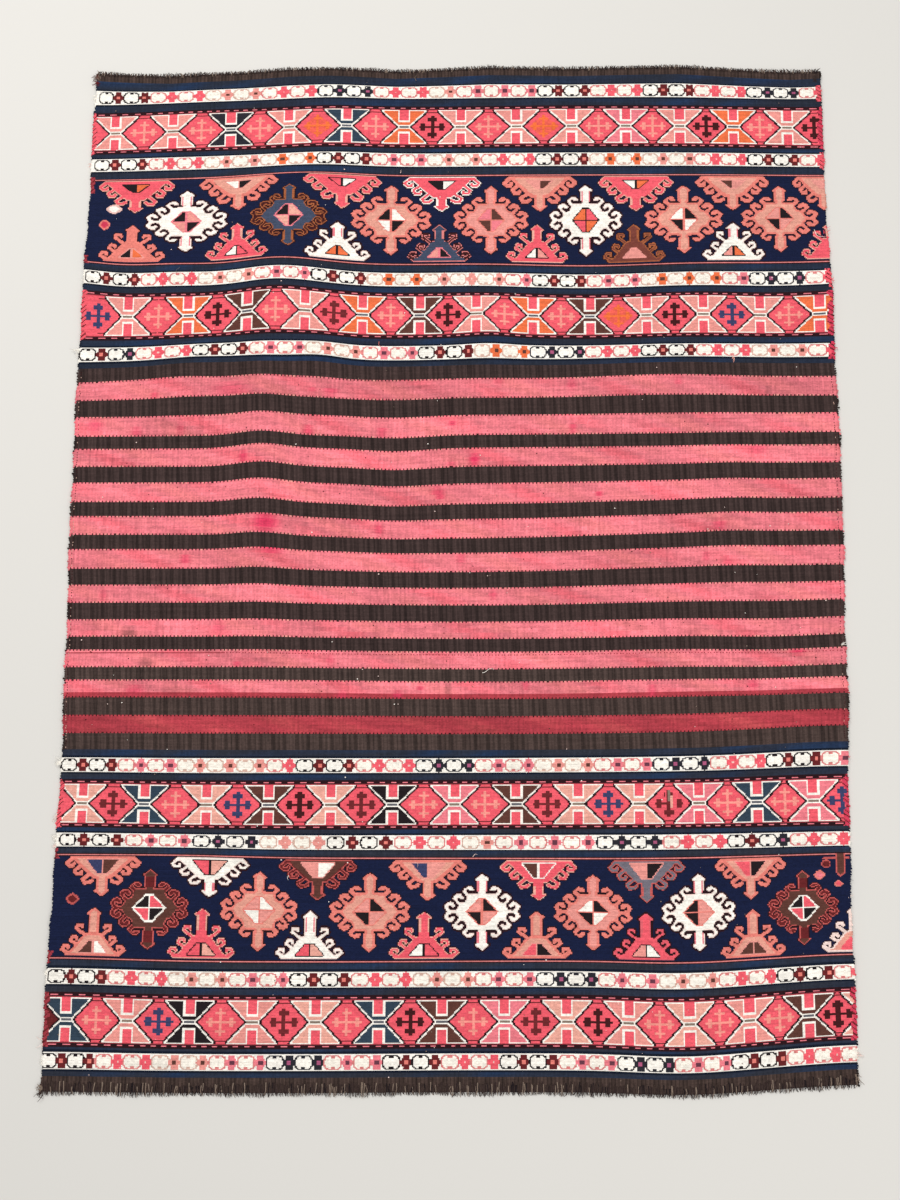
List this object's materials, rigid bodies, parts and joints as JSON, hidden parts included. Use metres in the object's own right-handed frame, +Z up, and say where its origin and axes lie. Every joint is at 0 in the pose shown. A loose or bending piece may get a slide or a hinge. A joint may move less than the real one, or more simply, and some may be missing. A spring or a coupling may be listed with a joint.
{
  "type": "mafrash",
  "caption": "Woollen bedding bag opened out flat: a striped plain-weave base between two side panels with raised bands of hooked medallions, diamonds and beads.",
  "frame": {"origin": "on the ground, under the middle of the cloth's outline", "axes": "+X along the weft to the right selvedge, +Y along the warp to the far side panel, +Z up from the ground"},
  "size_m": [1.0552, 1.4182, 0.0039],
  "materials": {
    "wool": "matt hand-spun wool, weft-faced plain weave and wrapped weft"
  },
  "bodies": {
    "root": {"woven_cloth": "wool"}
  },
  "joints": []
}
